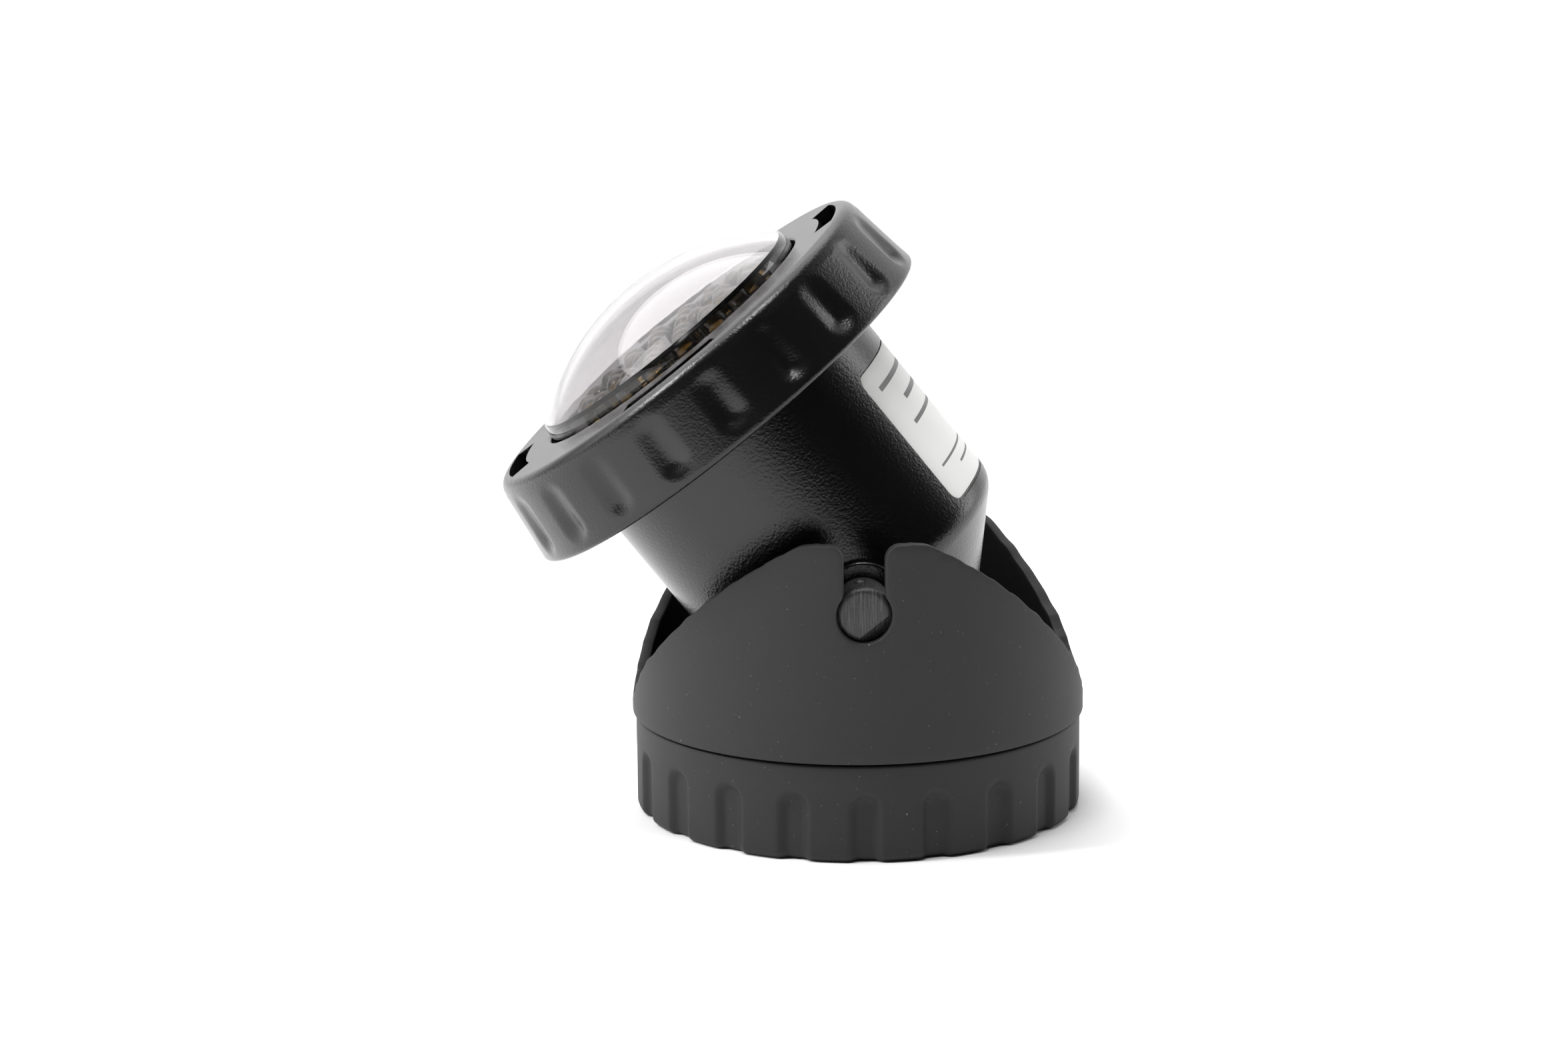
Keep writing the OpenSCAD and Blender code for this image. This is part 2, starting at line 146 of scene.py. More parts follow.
# ---- Base cup: the foot of the lamp, a shallow cup moulded in matte black plastic. Twenty grip
# scoops run down its wall and out through the bottom edge. Three screws hold the ballast in it.
MM = 0.001


def alone(piece=None):
    """selects nothing, or only this piece, in object mode"""
    if bpy.context.object and bpy.context.object.mode != "OBJECT":
        bpy.ops.object.mode_set(mode="OBJECT")
    bpy.ops.object.select_all(action="DESELECT")
    if piece:
        bpy.context.view_layer.objects.active = piece
        piece.select_set(True)


def arc(x, z, radius, start, end, steps):
    """points of an arc about (x, z), from one angle to another"""
    turns = [radians(start + (end - start) * step / steps) for step in range(steps + 1)]
    return [(x + radius * cos(turn), z + radius * sin(turn)) for turn in turns]


def rows(radius_a, z_a, radius_b, z_b, count):
    """points between two places, without the first and the last"""
    shares = [step / count for step in range(1, count)]
    return [(radius_a + (radius_b - radius_a) * s, z_a + (z_b - z_a) * s) for s in shares]


def smooth(piece, angle=35):
    """smooth shading, with the edges that turn by more than angle kept sharp"""
    alone(piece)
    bpy.ops.object.shade_smooth_by_angle(angle=radians(angle))


def chain(name, points):
    """a new piece in edit mode: a chain of edges through points of (x, z) in millimetres"""
    alone()
    bpy.ops.mesh.primitive_plane_add(size=MM)
    piece = bpy.context.active_object
    piece.name = name
    piece.data.name = name
    bpy.ops.object.mode_set(mode="EDIT")
    bpy.ops.mesh.select_all(action="SELECT")
    bpy.ops.mesh.merge(type="CENTER")
    bpy.ops.transform.translate(value=(points[0][0] * MM, 0, points[0][1] * MM))
    for here, there in zip(points, points[1:]):
        step = ((there[0] - here[0]) * MM, 0, (there[1] - here[1]) * MM)
        bpy.ops.mesh.extrude_vertices_move(TRANSFORM_OT_translate={"value": step})
    bpy.ops.mesh.select_all(action="SELECT")
    return piece


def turned(name, outline, columns, sweep=360, start=0):
    """a new piece: a closed outline of (radius, height) in millimetres, spun about Z"""
    piece = chain(name, outline)
    bpy.ops.mesh.spin(steps=columns, angle=radians(sweep), center=(0, 0, 0), axis=(0, 0, 1))
    bpy.ops.mesh.select_all(action="SELECT")
    bpy.ops.mesh.remove_doubles(threshold=1e-6)
    if sweep < 360:
        bpy.ops.mesh.select_all(action="DESELECT")
        bpy.ops.mesh.select_non_manifold()
        bpy.ops.mesh.fill_holes(sides=0)
        bpy.ops.mesh.select_all(action="SELECT")
    bpy.ops.mesh.normals_make_consistent(inside=False)
    bpy.ops.object.mode_set(mode="OBJECT")
    piece.rotation_euler = (0, 0, radians(start))
    alone(piece)
    bpy.ops.object.transform_apply(location=True, rotation=True, scale=True)
    smooth(piece)
    return piece


def pull_in(piece, depth_at):
    """pulls a turned piece in towards its axis, by depth_at(angle, height, radius) millimetres"""
    core = 15
    scoops = piece.vertex_groups.new(name="scoops")
    for point in piece.data.vertices:
        radius = hypot(point.co.x, point.co.y) / MM
        depth = depth_at(degrees(atan2(point.co.y, point.co.x)), point.co.z / MM, radius)
        if depth > 0:
            scoops.add([point.index], depth / (radius - core), "REPLACE")
    alone(piece)
    cast = piece.modifiers.new("scoops", "CAST")
    cast.cast_type = "CYLINDER"
    cast.factor = 1
    cast.use_radius_as_size = False
    cast.size = core * MM
    cast.use_z = False
    cast.vertex_group = "scoops"
    bpy.ops.object.modifier_apply(modifier="scoops")
    piece.vertex_groups.clear()


def combine(piece, others, operation="DIFFERENCE"):
    """cuts others out of piece, or unites them with it, and takes them away"""
    other = others[0]
    alone(other)
    for more in others:
        more.select_set(True)
    bpy.ops.object.join()
    alone(piece)
    change = piece.modifiers.new("change", "BOOLEAN")
    change.object = other
    change.operation = operation
    change.solver = "EXACT"
    bpy.ops.object.modifier_apply(modifier="change")
    bpy.data.objects.remove(other)


def ease(share):
    """0 to 1 with soft ends"""
    share = min(1, max(0, share))
    return share * share * (3 - 2 * share)


class Wire:
    """a socket of a material: sums on it add the nodes that they need"""

    def __init__(self, tree, socket=None):
        self.tree = tree
        self.socket = socket

    def node(self, kind, settings, inputs, output=0):
        """any other node, with its settings set before its inputs"""
        made = self.tree.nodes.new("ShaderNode" + kind)
        for name, value in settings.items():
            if name == "stops":
                while len(made.color_ramp.elements) < len(value):
                    made.color_ramp.elements.new(1)
                for stop, (place, colour) in zip(made.color_ramp.elements, value):
                    stop.position = place
                    stop.color = (*colour, 1)
            else:
                setattr(made, name, value)
        for name, value in inputs.items():
            if isinstance(value, Wire):
                self.tree.links.new(value.socket, made.inputs[name])
            else:
                made.inputs[name].default_value = value
        return Wire(self.tree, made.outputs[output])

    def __add__(self, other):
        return self.node("Math", {"operation": "ADD"}, {0: self, 1: other})

    def __sub__(self, other):
        return self.node("Math", {"operation": "SUBTRACT"}, {0: self, 1: other})

    def __rsub__(self, other):
        return self.node("Math", {"operation": "SUBTRACT"}, {0: other, 1: self})

    def __mul__(self, other):
        return self.node("Math", {"operation": "MULTIPLY"}, {0: self, 1: other})

    def __gt__(self, other):
        return self.node("Math", {"operation": "GREATER_THAN"}, {0: self, 1: other})

    def __lt__(self, other):
        return self.node("Math", {"operation": "LESS_THAN"}, {0: self, 1: other})

    __radd__ = __add__
    __rmul__ = __mul__


def paint(name, **constants):
    """a new material, with constants on the shader's own sockets, and its Object coordinates"""
    material = bpy.data.materials.new(name)
    material.use_nodes = True
    shader = material.node_tree.nodes["Principled BSDF"]
    for socket, value in constants.items():
        shader.inputs[socket.replace("_", " ")].default_value = value
    return material, Wire(material.node_tree).node("TexCoord", {}, {}, "Object")


def feed(material, **wires):
    """links what varies over the surface to the shader"""
    shader = material.node_tree.nodes["Principled BSDF"]
    for socket, wire in wires.items():
        material.node_tree.links.new(wire.socket, shader.inputs[socket.replace("_", " ")])


def noise(place, size, detail=2, roughness=0.5):
    """soft noise from 0 to 1, with features of about size millimetres"""
    return place.node("TexNoise", {}, {"Vector": place, "Scale": 1 / (size * MM),
                                       "Detail": detail, "Roughness": roughness})


def blend(wire, share, first, second):
    """a colour between two colours or wires"""
    first = first if isinstance(first, Wire) else (*first, 1)
    second = second if isinstance(second, Wire) else (*second, 1)
    return wire.node("Mix", {"data_type": "RGBA"}, {0: share, 6: first, 7: second}, 2)


def dots(place, size, spacing, share=1.0):
    """small round marks of about size millimetres, one in each cell of spacing"""
    cells = place.node("TexVoronoi", {}, {"Vector": place, "Scale": 1 / (spacing * MM)}, "Distance")
    patches = noise(place, spacing * 3, 1)
    return cells < (patches - (1 - share)) * (size / spacing)


def bumps(height, depth, strength=1.0):
    """a normal from a height of 0 to 1 that stands for depth millimetres"""
    return height.node("Bump", {}, {"Strength": strength, "Distance": depth * MM,
                                    "Height": height}, "Normal")


def matte_plastic(name, shade):
    """the base's moulded plastic: charcoal, finely grained, with a little dust on it"""
    material, place = paint(name, IOR=1.5, Specular_IOR_Level=0.42)
    grain = noise(place, 0.35, 4, 0.6)
    cloud = noise(place, 14, 3, 0.6)
    dust = dots(place, 0.34, 3.4, 0.85)
    lint = dots(place, 0.2, 1.5, 0.9)
    body = blend(place, cloud, [shade * 0.86] * 3, [shade * 1.12, shade * 1.08, shade * 1.20])
    dusted = blend(place, dust * 0.5 + lint * 0.35, body, (0.22, 0.21, 0.21))
    feed(material,
         Base_Color=dusted,
         Roughness=0.54 + cloud * 0.10 + grain * 0.06 + dust * 0.3,
         Normal=bumps(grain + dust * 0.6, 0.03, 0.7))
    return material


cup_radius = 40.0
cup_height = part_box("base_cup")[1].z / MM
cup_wall = 2.5
cup_floor = 2.2
cup_foot = 1.5
cup_rim = 0.45
cup_scoops = 20
scoop_half = 3.15
scoop_deep = 1.05
scoop_crown = 9.7
scoop_soft = 0.62
scoop_inside = 37.3
scoop_fade = 1.2
foot_inner = 35.7


def cup_scoop(angle, height, radius):
    """depth of the grip scoops in the cup's wall"""
    across = (angle + 90 + 180 / cup_scoops) % (360 / cup_scoops) - 180 / cup_scoops
    side = radians(across) * cup_radius
    far = hypot(side, max(0, height - scoop_crown)) / scoop_half
    return scoop_deep * ease((1 - far) / scoop_soft) * ease((radius - scoop_inside) / scoop_fade)


cup_outline = ([(0, 0.5), (35.0, 0.5)]
               + arc(35.2, 0.2, 0.3, 90, 0, 3)
               + [(foot_inner, 0)]
               + rows(foot_inner, 0, cup_radius - cup_foot, 0, 4)
               + arc(cup_radius - cup_foot, cup_foot, cup_foot, -90, 0, 8)
               + rows(cup_radius, cup_foot, cup_radius, cup_height - cup_rim, 36)
               + arc(cup_radius - cup_rim, cup_height - cup_rim, cup_rim, 0, 90, 4)
               + arc(cup_radius - cup_wall + 0.3, cup_height - 0.3, 0.3, 90, 180, 3)
               + [(cup_radius - cup_wall, cup_floor + 0.5), (cup_radius - cup_wall - 0.5, cup_floor),
                  (0, cup_floor), (0, 0.5)])
base_cup = turned("moulded_base_cup", cup_outline, 720)
pull_in(base_cup, cup_scoop)
screw_ring = 22
well_radius = 3.1
well_top = 1.9
screw_hole = 1.58
screw_wells = []
for turn in (90, 210, 330):
    screw_well = turned("screw_well", [(0, -1), (well_radius, -1), (well_radius, well_top),
                                       (screw_hole, well_top), (screw_hole, 4), (0, 4), (0, -1)], 48)
    screw_well.location = (screw_ring * MM * cos(radians(turn)),
                           screw_ring * MM * sin(radians(turn)), 0)
    screw_wells.append(screw_well)
combine(base_cup, screw_wells)
smooth(base_cup)
base_plastic = matte_plastic("base_cup_plastic", 0.017)
base_cup.data.materials.clear()
base_cup.data.materials.append(base_plastic)
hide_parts("base_cup")
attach(base_cup, "base")


# ---- Ballast and its screws: a painted cast-iron disc on the cup's floor that keeps the lamp down,
# and three zinc-plated screws that come up through the floor into it.
iron, iron_place = paint("ballast_iron", Metallic=0.6)
iron_skin = noise(iron_place, 1.2, 6, 0.65)
feed(iron,
     Base_Color=blend(iron_place, iron_skin, (0.07, 0.068, 0.066), (0.16, 0.15, 0.14)),
     Roughness=0.45 + iron_skin * 0.3,
     Normal=bumps(iron_skin, 0.08))
frame["nodes"]["base_weight"].data.materials.clear()
frame["nodes"]["base_weight"].data.materials.append(iron)

steel, steel_place = paint("screw_steel", Metallic=1.0)
steel_skin = noise(steel_place, 0.25, 3)
steel_stain = noise(steel_place, 2.5, 3)
feed(steel,
     Base_Color=blend(steel_place, steel_stain, (0.45, 0.45, 0.46), (0.68, 0.67, 0.63)),
     Roughness=0.22 + steel_stain * 0.2,
     Normal=bumps(steel_skin, 0.01))
for node in ("weight_screws", "board_screws"):
    frame["nodes"][node].data.materials.clear()
    frame["nodes"][node].data.materials.append(steel)


# ---- Yoke: a moulded ring that locks in the cup, with two upright ears bent on the same circle.
# Each ear has a keyhole seat that a pin of the lamp snaps into. Its edges are roughly trimmed.
yoke_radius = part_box("yoke")[1].y / MM
ear_wall = 2.2
pivot = Vector(next(j for j in frame["joints"] if j["name"] == "head_tilt")["pos_m"])
pivot_height = pivot.z / MM
ear_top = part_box("yoke")[1].z / MM
ear_bottom = cup_height + 0.4
ear_low = 19.6
ear_edge = 0.32
ear_trim = 0.07
neck_half = 3.65
neck_low = 3.16
horn_round = 2.6
seat_radius = 4.83
seat_mouth = 40.9
hip = (37.6, 30.2)
brow = (10.6, ear_top - 0.15)
bend_strip = 1.4


def bow(a, b, radius, steps):
    """points from a to b on an arc that bows out to the right of the way from a to b"""
    dx, dz = b[0] - a[0], b[1] - a[1]
    length = hypot(dx, dz)
    deep = sqrt(radius * radius - length * length / 4)
    x = (a[0] + b[0]) / 2 - dz / length * deep
    z = (a[1] + b[1]) / 2 + dx / length * deep
    start = degrees(atan2(a[1] - z, a[0] - x))
    return arc(x, z, radius, start, start + degrees(2 * asin(length / 2 / radius)), steps)


def bent_plate(name, outline, radius, thick, edge, strip, turn=0):
    """a new piece: a flat plate with rounded edges, cut into strips and bent on an upright cylinder
    about Z, on its -Y side. The outline is (way around, height), in millimetres, from its left.
    A negative edge is the same rounding, with the plate's two ends left square"""
    piece = chain(name, outline)
    bpy.ops.mesh.remove_doubles(threshold=1e-6)
    bpy.ops.mesh.edge_face_add()
    left = min(x for x, z in outline) * MM
    right = max(x for x, z in outline) * MM
    bpy.ops.mesh.extrude_region_move(TRANSFORM_OT_translate={"value": (0, thick * MM, 0)})
    bpy.ops.mesh.select_all(action="SELECT")
    bpy.ops.mesh.normals_make_consistent(inside=False)
    bpy.ops.mesh.select_mode(type="EDGE")
    bpy.ops.object.mode_set(mode="OBJECT")
    for line in piece.data.edges:
        a, b = (piece.data.vertices[index].co for index in line.vertices)
        flat = abs(a.y - b.y) < 1e-6
        at_end = min(abs(a.x - end) + abs(b.x - end) for end in (left, right)) < 1e-6
        line.select = flat and not (at_end and edge < 0)
    bpy.ops.object.mode_set(mode="EDIT")
    bpy.ops.mesh.bevel(offset=abs(edge) * MM, segments=3, profile=0.5, affect="EDGES",
                       clamp_overlap=True)
    bpy.ops.mesh.select_mode(type="VERT")
    cuts = int((right - left) / (strip * MM))
    for number in range(1, cuts):
        bpy.ops.mesh.select_all(action="SELECT")
        bpy.ops.mesh.bisect(plane_co=(left + (right - left) * number / cuts, 0, 0),
                            plane_no=(1, 0, 0), threshold=1e-7)
    low = min(z for x, z in outline) * MM
    high = max(z for x, z in outline) * MM
    layers = int((high - low) / (strip * MM * 1.3))
    for number in range(1, layers):
        bpy.ops.mesh.select_all(action="SELECT")
        bpy.ops.mesh.bisect(plane_co=(0, 0, low + (high - low) * number / layers),
                            plane_no=(0, 0, 1), threshold=1e-7)
    bpy.ops.object.mode_set(mode="OBJECT")
    alone(piece)
    wrap = piece.modifiers.new("wrap", "SIMPLE_DEFORM")
    wrap.deform_method = "BEND"
    wrap.deform_axis = "Z"
    wrap.angle = (right - left) / (radius * MM)
    bpy.ops.object.modifier_apply(modifier="wrap")
    piece.location = (0, -radius * MM, 0)
    bpy.ops.object.transform_apply(location=True, rotation=True, scale=True)
    piece.rotation_euler = (0, 0, radians(turn))
    bpy.ops.object.transform_apply(location=True, rotation=True, scale=True)
    return piece


def around(x):
    """way around the yoke, in millimetres, of a point that is x across it as seen from the front"""
    return yoke_radius * asin(max(-1, min(1, x / yoke_radius)))


def rough(points, depth):
    """the outline as a knife leaves it: waves of about depth millimetres, the same at each run"""
    return [(x + depth * sin(2.3 * z + 0.7 * x),
             z + depth * (sin(1.7 * x) + 0.6 * sin(4.1 * x + z)))
            for x, z in points]


half_ear = (rough(bow((yoke_radius, ear_low), hip, 34, 10)[1:]
                  + bow(hip, brow, 62, 44)[1:]
                  + rows(*brow, 6.6, ear_top, 5), ear_trim)
            + arc(neck_half + horn_round, ear_top - horn_round, horn_round, 90, 180, 7)
            + rows(neck_half, ear_top - horn_round, neck_half, pivot_height + neck_low, 5))
seat = arc(0, pivot_height, seat_radius, seat_mouth, -180 - seat_mouth, 30)
outline = ([(-yoke_radius, ear_bottom)]
           + rows(-yoke_radius, ear_bottom, yoke_radius, ear_bottom, 60)
           + [(yoke_radius, ear_bottom), (yoke_radius, ear_low)]
           + half_ear + seat
           + [(-x, z) for x, z in reversed(half_ear)]
           + [(-yoke_radius, ear_low), (-yoke_radius, ear_bottom)])
ear_outline = [(around(x), z) for x, z in outline]
yoke = bent_plate("moulded_yoke", ear_outline, yoke_radius, ear_wall, -ear_edge, bend_strip)
yoke_plastic = matte_plastic("yoke_plastic", 0.018)
alone(yoke)
bpy.ops.object.duplicate()
far_ear = bpy.context.active_object
far_ear.rotation_euler = (0, 0, pi)
bpy.ops.object.transform_apply(location=True, rotation=True, scale=True)
skirt_radius = 36.4
skirt_inner = 34.4
skirt_low = 6.2
yoke_seat = cup_height + 0.05
floor_low = 11.6
floor_high = 13.6
ledge_radius = 38.9
ledge_top = 19.3
yoke_ring = turned("yoke_ring", [(0, floor_low), (skirt_inner, floor_low), (skirt_inner, skirt_low),
                                 (skirt_radius, skirt_low), (skirt_radius, yoke_seat),
                                 (ledge_radius, yoke_seat), (ledge_radius, ear_bottom + 0.3),
                                 (ledge_radius, ledge_top), (skirt_inner + 0.3, ledge_top),
                                 (skirt_inner, 19.0), (skirt_inner, floor_high), (0, floor_high),
                                 (0, floor_low)], 240)
drain_radius = 2.2
drains = []
for drain_x in (-20, 20):
    drain = turned("drain", [(0, 10), (drain_radius, 10), (drain_radius, 15), (0, 15), (0, 10)], 32)
    drain.location = (drain_x * MM, 0, 0)
    drains.append(drain)
combine(yoke_ring, drains)
alone(yoke)
far_ear.select_set(True)
yoke_ring.select_set(True)
bpy.ops.object.join()
bpy.ops.object.mode_set(mode="EDIT")
bpy.ops.mesh.select_all(action="SELECT")
bpy.ops.mesh.remove_doubles(threshold=2e-6)
bpy.ops.object.mode_set(mode="OBJECT")
smooth(yoke, 30)
yoke.data.materials.clear()
yoke.data.materials.append(yoke_plastic)
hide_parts("yoke")
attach(yoke, "yoke")


# ---- Lamp housing: a glossy moulded canister with a tapered back, a flange and lugs for the collar,
# and a trunnion pin on each side. It is built upright, then leaned as the joint's axis says.
lamp_axis = Vector(next(j for j in frame["joints"] if j["name"] == "collar_turn")["axis"])
lamp_lean = atan2(lamp_axis.x, lamp_axis.z)
housing_radius = 28.8
housing_bore = 26.4
neck_radius = 7.0
neck_bore = 4.6
neck_end = -21.4
rear_round = 1.2
taper_end = -17.4
taper_inside = -14.8
taper_meets = 0.42
taper_round = 6.0
flange_foot = 41.0
flange_radius = 32.6
flange_top = 48.0
groove_inner = 28.9
groove_outer = 31.4
groove_floor = 46.4
pin_radius = 4.75
pin_root = 24
pin_end = 39.6
pin_round = 1.1
pin_bevel = 0.55
boss_radius = 7.2
boss_end = 30.6
boss_round = 0.5
nub_radius = 1.0
nub_root = 3.6
nub_aside = 0.9
nub_along = 34.6
label_half = 39.6
label_low = 1.1
label_high = 28.8
label_corner = 2.5
label_middle = 28.7
label_inside = 28.72
pocket_corner = 2.8
pocket_middle = 28.5


def lean(piece):
    """takes a piece that was built upright about the pivot to the lamp's place"""
    alone(piece)
    piece.rotation_euler = (0, lamp_lean, 0)
    piece.location = pivot
    bpy.ops.object.transform_apply(location=True, rotation=True, scale=True)


def along_lamp(place):
    """Object coordinates turned back to the lamp's own: X, Y and way along its axis, in metres"""
    from_pivot = place.node("VectorMath", {"operation": "SUBTRACT"}, {0: place, 1: tuple(pivot)})
    return from_pivot.node("Mapping", {}, {"Vector": from_pivot, "Rotation": (0, -lamp_lean, 0)})


def grained_plastic(name, shade, cell, depth, gloss, scuff_from=50):
    """the lamp's moulded plastic: near black, glossier, with a fine leather-like grain, and with
    upright scuffs beyond scuff_from millimetres to either side, where the pins rub"""
    material, place = paint(name, IOR=1.5)
    grain = noise(place, cell, 3, 0.55)
    pits = place.node("TexVoronoi", {"feature": "SMOOTH_F1"},
                      {"Vector": place, "Scale": 1 / (cell * MM), "Smoothness": 1.0}, "Distance")
    cloud = noise(place, 20, 3, 0.6)
    dust = dots(place, 0.11, 2.4, 0.7)
    body = blend(place, cloud, [shade * 0.8] * 3, [shade * 1.2] * 3)
    brushed = place.node("Mapping", {}, {"Vector": place, "Scale": (7, 1, 0.35)})
    streaks = noise(brushed, 1.6, 3, 0.6)
    side_y = place.node("SeparateXYZ", {}, {0: place}, 1)
    pin_face = side_y.node("Math", {"operation": "ABSOLUTE"}, {0: side_y}) > scuff_from * MM
    scuffs = pin_face * streaks.node("MapRange", {}, {0: streaks, 1: 0.48, 2: 0.75, 3: 0.0, 4: 1.0})
    worn = blend(place, pin_face, body, (0.022, 0.021, 0.022))
    scuffed = blend(place, scuffs * 0.5, worn, (0.14, 0.14, 0.14))
    feed(material,
         Base_Color=blend(place, dust * 0.25, scuffed, (0.2, 0.2, 0.2)),
         Roughness=gloss + cloud * 0.06 + grain * 0.04 + pin_face * 0.22,
         Normal=bumps(pits * 0.35 + grain + scuffs * 0.5, depth))
    return material


def rounded_box(half_width, low, high, corner):
    """outline of a rectangle with round corners, from its lower left, anticlockwise"""
    return (arc(-half_width + corner, low + corner, corner, 180, 270, 6)
            + rows(-half_width + corner, low, half_width - corner, low, 24)
            + arc(half_width - corner, low + corner, corner, 270, 360, 6)
            + arc(half_width - corner, high - corner, corner, 0, 90, 6)
            + rows(half_width - corner, high, -half_width + corner, high, 24)
            + arc(-half_width + corner, high - corner, corner, 90, 180, 6)
            + [(-half_width, low + corner)])


housing_outline = ([(neck_bore, -21.1), (4.9, neck_end), (6.7, neck_end), (neck_radius, -21.1),
                    (neck_radius, -17.9), (7.5, taper_end)]
                   + arc(13.2, taper_end + rear_round, rear_round, -90, -45, 4)
                   + arc(housing_radius - taper_round, taper_meets, taper_round, -45, 0, 14)
                   + rows(housing_radius, taper_meets, housing_radius, flange_foot, 20)
                   + [(housing_radius, flange_foot), (housing_radius + 0.4, 41.8),
                      (flange_radius, 43.8), (flange_radius, flange_top),
                      (groove_outer, flange_top), (groove_outer, groove_floor),
                      (groove_inner, groove_floor), (groove_inner, flange_top),
                      (26.6, flange_top), (housing_bore, 47.8), (housing_bore, -1.9),
                      (12.8, taper_inside), (neck_bore, taper_inside), (neck_bore, -21.1)])
housing = turned("moulded_lamp_housing", housing_outline, 240)
for side in (-1, 1):
    pin = turned("trunnion", [(0, pin_root), (pin_radius, pin_root),
                              (pin_radius, pin_end - pin_round)]
                 + arc(pin_radius - pin_round, pin_end - pin_round, pin_round, 0, 90, 8)
                 + [(0, pin_end), (0, pin_root)], 96)
    pin.rotation_euler = (radians(90) * -side, 0, 0)
    boss = turned("boss", [(0, pin_root), (boss_radius, pin_root),
                           (boss_radius, boss_end - boss_round)]
                  + arc(boss_radius - boss_round, boss_end - boss_round, boss_round, 0, 90, 4)
                  + [(0, boss_end), (0, pin_root)], 64)
    boss.rotation_euler = (radians(90) * -side, 0, 0)
    alone(pin)
    bpy.ops.object.transform_apply(location=False, rotation=True, scale=False)
    bpy.ops.object.mode_set(mode="EDIT")
    bpy.ops.mesh.select_all(action="SELECT")
    bpy.ops.mesh.bisect(plane_co=(0, side * pin_end * MM, -pin_radius * pin_bevel * MM),
                        plane_no=(0, -side, 1), clear_inner=True, use_fill=True, threshold=1e-7)
    bpy.ops.object.mode_set(mode="OBJECT")
    nub = turned("nub", [(0, nub_root), (nub_radius, nub_root)]
                 + arc(0, pin_radius, nub_radius, 0, 90, 8) + [(0, nub_root)], 32)
    nub.rotation_euler = (0, -lamp_lean, 0)
    alone(nub)
    bpy.ops.object.transform_apply(location=False, rotation=True, scale=False)
    nub.location = (nub_aside * side * MM, side * nub_along * MM, 0)
    combine(pin, [boss], "UNION")
    combine(pin, [nub], "UNION")
    combine(housing, [pin], "UNION")
pocket = bent_plate("label_pocket",
                    rounded_box(radians(label_half + 0.8) * pocket_middle, label_low - 0.5,
                                label_high + 0.5, pocket_corner),
                    housing_radius + 1, 1.28, 0.02, bend_strip, 90)
combine(housing, [pocket])
smooth(housing, 30)
lean(housing)
housing_plastic = grained_plastic("housing_plastic", 0.003, 0.5, 0.06, 0.17, 31.5)
housing.data.materials.clear()
housing.data.materials.append(housing_plastic)
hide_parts("lamp_housing")
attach(housing, "head")


# ---- Rating label: a white printed film with round corners, stuck in a shallow pocket of the
# housing. Plain grey bars stand for its print.
label = bent_plate("printed_label",
                   rounded_box(radians(label_half) * label_middle, label_low, label_high,
                               label_corner),
                   label_inside, 0.2, 0.05, bend_strip, 90)
smooth(label, 30)
lean(label)
film, film_place = paint("label_film", Coat_Roughness=0.2)
film_way = along_lamp(film_place)
film_x = film_way.node("SeparateXYZ", {}, {0: film_way}, 0)
film_y = film_way.node("SeparateXYZ", {}, {0: film_way}, 1)
film_s = film_way.node("SeparateXYZ", {}, {0: film_way}, 2)
film_turn = film_way.node("Math", {"operation": "ARCTAN2"}, {0: film_y, 1: film_x})
print_mask = None
for height, tall, start, end in ((24.6, 1.0, -32, 6), (20.2, 1.0, -22, 2), (16.0, 0.8, -28, 14),
                                 (7.2, 0.45, -32, 24), (4.9, 0.45, -20, 22)):
    bar = ((film_s > (height - tall / 2) * MM) * (film_s < (height + tall / 2) * MM)
           * (film_turn > radians(start)) * (film_turn < radians(end)))
    print_mask = bar if print_mask is None else print_mask + bar
film_tone = noise(film_place, 6, 3)
film_grain = noise(film_place, 0.3, 2)
film_white = blend(film_place, film_tone, (0.74, 0.735, 0.72), (0.80, 0.80, 0.79))
feed(film,
     Base_Color=blend(film_place, print_mask * 0.9, film_white, (0.02, 0.02, 0.022)),
     Roughness=0.34 + film_tone * 0.1,
     Normal=bumps(film_grain, 0.006))
label.data.materials.append(film)
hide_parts("rating_label")
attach(label, "head")


# ---- Collar ring: the fluted ring that locks the lens on the housing by four bayonet lugs. Its face
# has four curved windows over the lugs, and its wall leans in towards the front.
collar_back = 36.4
collar_face = 52.4
collar_back_radius = 42.0
collar_front_radius = 40.0
collar_edge = 2.3
collar_scoops = 20
collar_first = -11.4
collar_scoop_radius = 41
collar_scoop_low = 41.2
collar_scoop_high = 47.2
collar_scoop_half = 3.8
collar_scoop_front = 0.55
collar_scoop_more = 0.5
collar_scoop_inside = 38.4
collar_inside = 38.1
collar_heel = 0.9
lip_radius = 27.9
window_inner = 33.4
window_outer = 37.3
window_start = 15.5
window_sweep = 31


def collar_scoop(angle, height, radius):
    """depth of the grip scoops in the collar's wall, deeper towards its back"""
    pitch = 360 / collar_scoops
    across = (angle - collar_first + pitch / 2) % pitch - pitch / 2
    side = radians(across) * collar_scoop_radius
    middle = min(collar_scoop_high, max(collar_scoop_low, height))
    far = hypot(side, (height - middle) * 1.1) / collar_scoop_half
    deep = collar_scoop_front + collar_scoop_more * ease((48 - height) / 9)
    return deep * ease(1 - far) * ease((radius - collar_scoop_inside) / 0.8)


